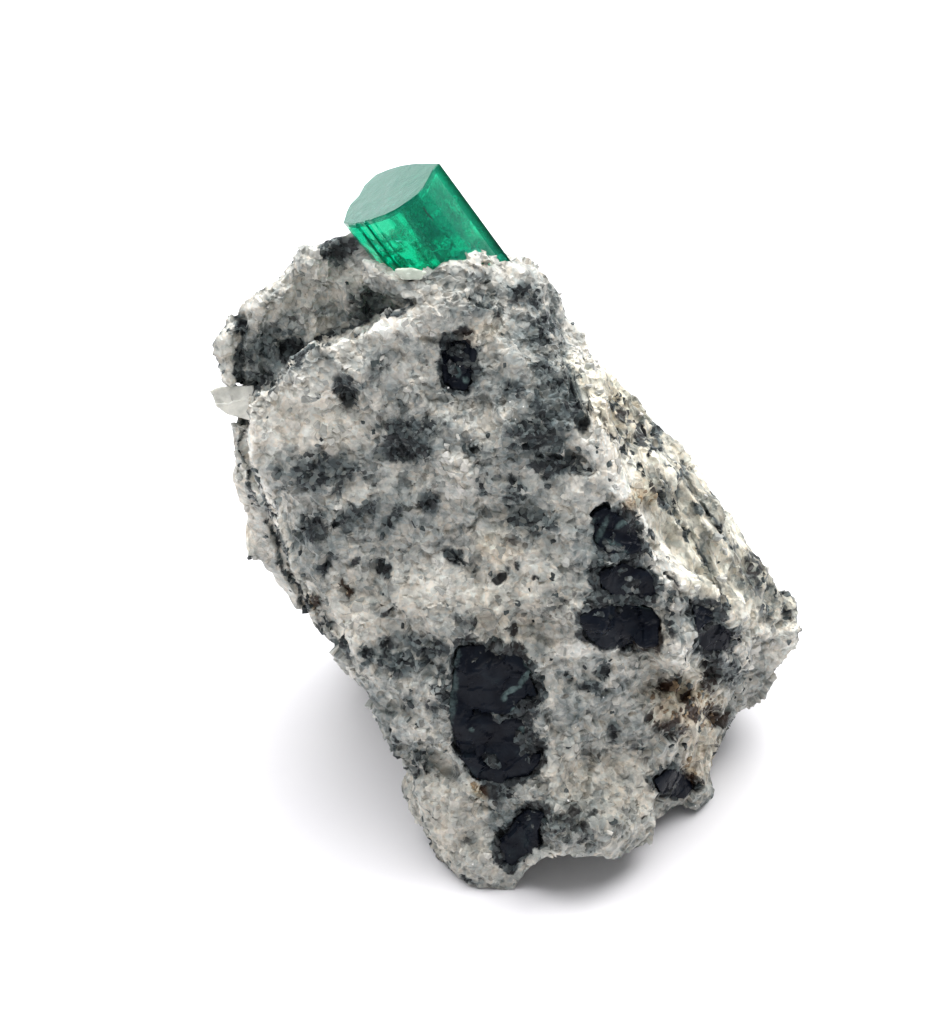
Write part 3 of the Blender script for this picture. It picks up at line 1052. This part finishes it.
def make_veils(outline, axis, depth, material):
    """Thin wisps and healed cracks sealed in the emerald."""
    draw = random.Random(5)
    middle = middle_of(outline).lerp(outline[0], 0.25)
    front = [corner for corner in outline if (corner - middle).dot(OUT) > 0.0]
    bm = bmesh.new()
    for number in range(VEILS):
        edge = front[draw.randrange(len(front))]
        beside = middle.lerp(edge, 0.90 * math.sqrt(draw.random()))
        place = beside - axis * (draw.uniform(0.16, 0.62) * depth)
        size = MM * draw.uniform(*VEIL_SIZE)
        widths = Vector((1.0, draw.uniform(0.4, 1.0), draw.uniform(0.03, 0.08))) * size
        turn = Matrix.Rotation(draw.uniform(0.0, math.tau), 4, "Z")
        turn = turn @ Matrix.Rotation(draw.uniform(-1.3, 1.3), 4, "X")
        for vert in add_ball(bm, place, turn, widths, 2):
            wave = noise.noise_vector(vert.co * cell_size(0.25) + Vector((number, 0.0, 0.0)))
            vert.co += wave * (0.10 * size)
    piece = new_piece("emerald_veils", bm, material)
    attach(piece, "root")


def make_haze(outline, axis, depth, material):
    """Wide, thin sheets of haze behind the emerald's right-hand side, which dull what shows through it."""
    draw = random.Random(8)
    middle, _, outward = right_edge(outline)
    bm = bmesh.new()
    for number in range(HAZE_SHEETS):
        place = middle + outward * ((0.5 + 0.28 * number) * MM) - axis * (draw.uniform(0.25, 0.45) * depth)
        turn = facing_along(outward) @ Matrix.Rotation(draw.uniform(-0.2, 0.2), 4, "X")
        widths = Vector((draw.uniform(2.2, 3.4), draw.uniform(2.2, 3.4), 0.05)) * MM
        for vert in add_ball(bm, place, turn, widths, 4):
            wave = noise.noise(vert.co * cell_size(0.9) + Vector((number, 0.0, 0.0)))
            vert.co += outward * (wave * 0.20 * MM)
    piece = new_piece("emerald_haze", bm, material)
    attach(piece, "root")


def make_cap_haze(outline, axis, material):
    """One thin sheet of haze just under the emerald's flat end."""
    middle = middle_of(outline)
    inner = [middle.lerp(place, 0.95) - axis * 0.25 * MM for place in outline]
    sheet = new_piece("emerald_cap_haze", drawn_out(inner, axis * -0.03 * MM), material)
    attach(sheet, "root")


# ---------------------------------------------------------------- materials

def relief_group():
    """Height of the finest broken facets and of the grit on them."""
    nodes, start, end = new_group(
        "fine relief", "ShaderNodeTree", {"Place": "NodeSocketVector"}, {"Height": "NodeSocketFloat"}
    )
    facets = facet_height(nodes, start.outputs[0], FINE_GRAIN, 0.25, 0.02)
    grit = nodes.times(nodes.noise(start.outputs[0], 0.12, 4.0), 0.02 * MM)
    nodes.feed(end.inputs[0], nodes.plus(facets, grit))
    return nodes.tree


def stain_group():
    """Iron stain laid over a colour: ochre to rust brown, uneven from grain to grain."""
    inputs = {"Colour": "NodeSocketColor", "Own": "NodeSocketFloat", "Amount": "NodeSocketFloat"}
    nodes, start, end = new_group("iron stain", "ShaderNodeTree", inputs, {"Colour": "NodeSocketColor"})
    colour, own, amount = start.outputs[:3]
    rusty = nodes.ramp(own, RUST_TINT)
    nodes.feed(end.inputs[0], nodes.mix(amount, colour, nodes.mix(1.0, colour, rusty, "MULTIPLY")))
    return nodes.tree


def use_group(nodes, tree, inputs):
    return nodes.add("ShaderNodeGroup", inputs, node_tree=tree).outputs[0]


def new_material(name, **plain):
    """A material, its builder and its shader, which gets these plain values. Labels are spelt with _."""
    material = bpy.data.materials.new(name)
    material.use_nodes = True
    nodes = Builder(material.node_tree)
    shader = material.node_tree.nodes["Principled BSDF"]
    for label, value in plain.items():
        nodes.feed(shader.inputs[label.replace("_", " ")], value)
    return material, nodes, shader


def finish_shader(nodes, shader, colour, roughness, height, strength=1.0, distance=1.0):
    """Lead a colour, a roughness and the height of a bump into a shader."""
    bump = nodes.add("ShaderNodeBump", {"Height": height, "Strength": strength, "Distance": distance})
    nodes.feed(shader.inputs["Base Color"], colour)
    nodes.feed(shader.inputs["Roughness"], roughness)
    nodes.feed(shader.inputs["Normal"], bump.outputs[0])


def rock_fields(nodes, rest, ragged):
    """The marks and the noises that the parts of the rock's finish share."""
    fields = {name: nodes.attribute(name) for name in ROCK_MARKS}
    waves = ("domains", rest, 3.0, 4.0), ("clouds", rest, 0.8, 5.0), ("mottle", ragged, 0.40, 3.0)
    for name, *wave in waves:
        fields[name] = nodes.between(nodes.noise(*wave), 0.3, 0.7, -0.5, 0.5)
    lump = nodes.between(nodes.own_number(nodes.cells(ragged, LUMP), 6.7), 0.62, 0.75)
    fields["lump"] = nodes.times(lump, nodes.between(fields["dark"], 0.1, 0.4, 1.0, 0.0))
    return fields


def dark_grains(nodes, fields, coarse, fine):
    """1 in the dark grains, coarse and fine, and 0 in the others."""
    share = nodes.weighted(0.05, fields, DARK_WEIGHTS)
    kinds = []
    for part, own, sharpness in (
        (share, nodes.own_number(coarse, 5.3), 2.2),
        (nodes.times(share, 0.75), nodes.own_number(fine, 6.1), 2.5),
    ):
        kinds.append(nodes.plus(nodes.times(nodes.minus(part, own), sharpness), 0.5, clamp=True))
    return nodes.math("MAXIMUM", *kinds)


def flank_plates(nodes, fields, ragged):
    """How much lighter each long plate of the flank is, and its dark rim."""
    squeeze = nodes.scaled(LAYERS * -0.62, nodes.vector("DOT_PRODUCT", ragged, LAYERS))
    flat = nodes.vector("ADD", ragged, squeeze)
    own = nodes.own_number(nodes.cells(flat, PLATE), 6.3)
    plate = nodes.times(nodes.times(nodes.minus(own, 0.42), 0.46), fields["flank"])
    rims = nodes.cells(flat, PLATE, "DISTANCE_TO_EDGE").outputs["Distance"]
    rim = nodes.times(nodes.between(rims, 0.0, 0.09, 0.75, 0.0), fields["flank"])
    return plate, nodes.times(rim, nodes.between(fields["clouds"], -0.25, 0.2, 1.0, 0.1))


def pale_tone(nodes, fields, coarse, fine, plate):
    """How light the grains that aren't dark are."""
    grain = nodes.times(nodes.minus(nodes.own_number(coarse, 7.9), 0.5), 0.12)
    grain = nodes.plus(grain, nodes.times(nodes.minus(nodes.own_number(fine, 4.3), 0.5), 0.09))
    smooth = fields["pale"]
    for name in ("flank", "lobe", "lump"):
        smooth = nodes.math("MAXIMUM", smooth, fields[name])
    tone = nodes.times(grain, nodes.minus(1.0, nodes.times(smooth, 0.55)))
    return nodes.weighted(nodes.plus(nodes.plus(tone, plate), 0.568), fields, TONE_WEIGHTS)


def rock_material(relief, stain):
    """Finish of the rock: pale and dark grains, with patches, plates, crevices and stain."""
    material, nodes, shader = new_material("granular matrix", Specular_IOR_Level=0.3)
    rest = nodes.attribute("rest", "Vector")
    bend = nodes.vector("SUBTRACT", nodes.noise(rest, 0.28, 3.0, "Color"), COLOUR_MIDDLE)
    ragged = nodes.vector("ADD", rest, nodes.scaled(bend, 0.26 * MM))
    coarse, fine = nodes.cells(ragged, GRAIN), nodes.cells(ragged, FINE_GRAIN)
    fields = rock_fields(nodes, rest, ragged)
    plate, rim = flank_plates(nodes, fields, ragged)
    colour = nodes.ramp(pale_tone(nodes, fields, coarse, fine, plate), ROCK_PALE)
    yellower = nodes.mix(1.0, colour, (1.0, 0.975, 0.90), "MULTIPLY")
    colour = nodes.mix(fields["flank"], colour, yellower)
    lightness = nodes.plus(nodes.own_number(fine, 3.7), 0.35)
    black = nodes.ramp(nodes.minus(lightness, nodes.times(fields["dark"], 0.5)), ROCK_BLACK)
    black = nodes.mix(nodes.times(fields["warm"], 1.2, clamp=True), black, (0.036, 0.019, 0.010))
    colour = nodes.mix(nodes.math("MAXIMUM", dark_grains(nodes, fields, coarse, fine), rim), colour, black)
    colour = nodes.mix(0.9, colour, nodes.ramp(nodes.own_number(fine, 8.3), ROCK_TINT), "MULTIPLY")
    seam = nodes.cells(rest, GRAIN, "DISTANCE_TO_EDGE").outputs["Distance"]
    crevice = nodes.between(nodes.noise(rest, 0.7, 2.0), 0.5, 0.7, 0.0, 0.16)
    crevice = nodes.times(nodes.between(seam, 0.0, 0.10, 1.0, 0.0), crevice)
    colour = nodes.mix(crevice, colour, (0.03, 0.035, 0.036))
    amount = nodes.times(fields["warm"], 0.9, clamp=True)
    own = nodes.own_number(fine, 2.9)
    colour = use_group(nodes, stain, {"Colour": colour, "Own": own, "Amount": amount})
    roughness = nodes.between(nodes.own_number(fine, 5.9), 0.0, 1.0, 0.34, 0.75)
    groove = nodes.times(crevice, -0.04 * MM)
    height = nodes.plus(use_group(nodes, relief, {"Place": rest}), groove)
    finish_shader(nodes, shader, colour, roughness, height)
    return material


def black_material():
    """Finish of the black crystals: nearly black, with grey-green veils and a little rust."""
    material, nodes, shader = new_material("black crystal", Specular_IOR_Level=0.10)
    rest = nodes.attribute("rest", "Vector")
    colour = nodes.ramp(nodes.noise(rest, 1.0, 5.0), (
        (0.35, (0.003, 0.004, 0.008)), (0.6, (0.007, 0.010, 0.016)), (0.75, (0.018, 0.028, 0.034)),
    ))
    ragged = nodes.times(nodes.minus(nodes.noise(rest, 0.35, 4.0), 0.5), 1.3)
    veil = nodes.plus(nodes.times(nodes.attribute("veil"), 1.3), ragged)
    veil = nodes.between(veil, 0.45, 1.1, 0.0, 0.85)
    shades = (0.3, (0.03, 0.05, 0.055)), (0.7, (0.14, 0.20, 0.195))
    grey_green = nodes.ramp(nodes.noise(rest, 0.3, 3.0), shades)
    rust = nodes.between(nodes.plus(nodes.attribute("warm"), ragged), 0.3, 0.7)
    colour = nodes.mix(rust, nodes.mix(veil, colour, grey_green), (0.22, 0.045, 0.008))
    roughness = nodes.between(nodes.noise(rest, 0.7, 4.0), 0.3, 0.7, 0.2, 0.5)
    finish_shader(nodes, shader, colour, roughness, nodes.noise(rest, 0.5, 5.0), 0.5, 0.04 * MM)
    return material


def grain_material(name, relief, stain, look):
    """Finish of one kind of loose grain: each grain has a colour of its own, and some are stained."""
    colours, roughness, clearness, stained = look
    material, nodes, shader = new_material(
        name, Specular_IOR_Level=0.4, Subsurface_Weight=clearness, Subsurface_Radius=LIGHT_REACH,
        Subsurface_Scale=0.2 * MM,
    )
    place = nodes.add("ShaderNodeTexCoord").outputs["Object"]
    own = nodes.attribute("own")
    cloudy = nodes.between(nodes.noise(place, 0.2, 3.0), 0.3, 0.7, -0.18, 0.18)
    stops = [(0.5 * number, colour) for number, colour in enumerate(colours)]
    colour = nodes.ramp(nodes.plus(own, cloudy), stops)
    amount = nodes.plus(nodes.times(nodes.attribute("warm"), 0.8), stained, clamp=True)
    colour = use_group(nodes, stain, {"Colour": colour, "Own": nodes.minus(1.0, own), "Amount": amount})
    roughness = nodes.between(nodes.noise(place, 0.3, 2.0), 0.3, 0.7, *roughness)
    finish_shader(nodes, shader, colour, roughness, use_group(nodes, relief, {"Place": place}), 0.5)
    return material


def chip_material(name, relief, cloudy, clear):
    """Finish of a quartz chip, between a cloudy and a clear colour."""
    material, nodes, shader = new_material(
        name, Subsurface_Weight=0.5, Subsurface_Radius=LIGHT_REACH, Subsurface_Scale=0.3 * MM,
    )
    rest = nodes.attribute("rest", "Vector")
    colour = nodes.ramp(nodes.noise(rest, 0.6, 4.0), ((0.3, clear), (0.7, cloudy)))
    finish_shader(nodes, shader, colour, 0.3, use_group(nodes, relief, {"Place": rest}), 0.4)
    return material


def emerald_material():
    """Finish of the emerald: clear green, dark along its right edge, and lined along its axis."""
    material, nodes, shader = new_material(
        "emerald", IOR=1.54, Transmission_Weight=0.86,
        Specular_IOR_Level=0.34, Specular_Tint=(0.12, 0.45, 0.36),
    )
    own = nodes.attribute("own", "Vector")
    depth = nodes.add("ShaderNodeSeparateXYZ", {"Vector": own}).outputs["X"]
    below = nodes.between(depth, -0.15 * MM, -0.05 * MM, 1.0, 0.1)
    body = nodes.mix(below, (0.03, 0.56, 0.38), (0.06, 0.78, 0.52))
    rim = nodes.between(nodes.attribute("inward"), 0.06, 0.24, 1.0, 0.0)
    colour = nodes.mix(rim, body, (0.006, 0.08, 0.06))
    rightness = nodes.vector("DOT_PRODUCT", own, (0.0, -0.66, -0.75))
    hazy = nodes.plus(rightness, nodes.times(nodes.noise(own, 0.9, 2.0), 1.6 * MM))
    roughness = nodes.between(hazy, 0.2 * MM, 2.6 * MM, 0.05, 0.16)
    drawn = nodes.vector("MULTIPLY", own, (0.12, 1.0, 1.0))
    lines = nodes.times(nodes.times(nodes.noise(drawn, 0.22, 3.0), 0.010 * MM), below)
    waves = nodes.times(nodes.noise(own, 0.8, 2.0), 0.020 * MM)
    waves = nodes.times(waves, nodes.between(depth, -0.15 * MM, -0.05 * MM, 1.0, 0.75))
    finish_shader(nodes, shader, colour, roughness, nodes.plus(lines, waves))
    volume = nodes.add("ShaderNodeVolumeAbsorption", {"Color": (0.0, 0.89, 0.81), "Density": 900.0})
    nodes.feed(material.node_tree.nodes["Material Output"].inputs["Volume"], volume.outputs[0])
    return material


def veil_material(name, colour, cover, patch=0.22):
    """Finish of what the emerald holds: a colour, the least and most it hides, and its patches (mm)."""
    material, nodes, shader = new_material(name, Base_Color=colour, Roughness=0.45)
    place = nodes.add("ShaderNodeTexCoord").outputs["Object"]
    nodes.feed(shader.inputs["Alpha"], nodes.between(nodes.noise(place, patch, 3.0), 0.35, 0.7, *cover))
    return material


def floor_material():
    """White paper, a little darker far away."""
    material, nodes, shader = new_material("white paper", Roughness=0.9, Specular_IOR_Level=0.1)
    place = nodes.add("ShaderNodeTexCoord").outputs["Object"]
    shades = (0.3, (0.83, 0.82, 0.845)), (0.7, (0.85, 0.842, 0.86))
    colour = nodes.ramp(nodes.noise(place, 8.0, 3.0), shades)
    away = nodes.between(nodes.vector("LENGTH", place), 0.10, 0.40)
    far = nodes.ramp(away, ((0.0, (1.0, 1.0, 1.0)), (1.0, (0.82, 0.82, 0.82))))
    nodes.feed(shader.inputs["Base Color"], nodes.mix(1.0, colour, far, "MULTIPLY"))
    return material


# ---------------------------------------------------------------- stage

def make_floor():
    bm = bmesh.new()
    bmesh.ops.create_grid(bm, x_segments=4, y_segments=4, size=0.9)
    floor = new_piece("floor", bm, floor_material())


def aim(obj, place, target):
    obj.location = place
    obj.rotation_mode = "QUATERNION"
    obj.rotation_quaternion = (place - target).to_track_quat("Z", "Y")


def add_light(name, place, size, power, colour):
    light = bpy.data.lights.new(name, "AREA")
    light.shape = "DISK"
    light.size = size
    light.energy = power
    light.color = colour
    aim(new_object(name, light), Vector(place), Vector((0.0, 0.0, 0.015)))


def light_stage():
    world = bpy.data.worlds.new("studio")
    world.use_nodes = True
    background = world.node_tree.nodes["Background"]
    background.inputs["Color"].default_value = (1.0, 1.0, 1.0, 1.0)
    background.inputs["Strength"].default_value = 0.36
    bpy.context.scene.world = world
    for light in LIGHTS:
        add_light(*light)
    bpy.context.scene.view_settings.view_transform = "Standard"


def place_camera():
    camera = bpy.data.cameras.new("camera")
    camera.sensor_width = SENSOR_WIDTH
    camera.lens = LENS
    camera.clip_start = 0.01
    obj = new_object("camera", camera)
    aim(obj, EYE, PLANE_CENTRE)
    bpy.context.scene.camera = obj


def main():
    noise.seed_set(NOISE_SEED)
    place_camera()
    light_stage()
    make_floor()
    relief, stain = relief_group(), stain_group()
    rock = make_rock(rock_material(relief, stain))
    scatter_grains(rock, relief, stain)
    cleavage = facet_tree("cleavage", CLEAVAGE_FACETS)
    black = black_material()
    for node in BLACK_CRYSTALS:
        make_black_crystal(node, black, cleavage)
    for node, colours in CHIP_COLOURS.items():
        make_pale_chip(node, chip_material(node.replace("_", " "), relief, *colours), cleavage)
    outline, axis, depth = make_emerald(emerald_material())
    make_veils(outline, axis, depth, veil_material("emerald veils", (0.12, 0.95, 0.74), (0.1, 0.7)))
    make_haze(outline, axis, depth, veil_material("emerald haze", (0.08, 0.50, 0.40), (0.15, 0.65)))
    make_cap_haze(outline, axis, veil_material("emerald cap haze", (0.03, 0.115, 0.095), (0.1, 0.9), 0.6))


main()
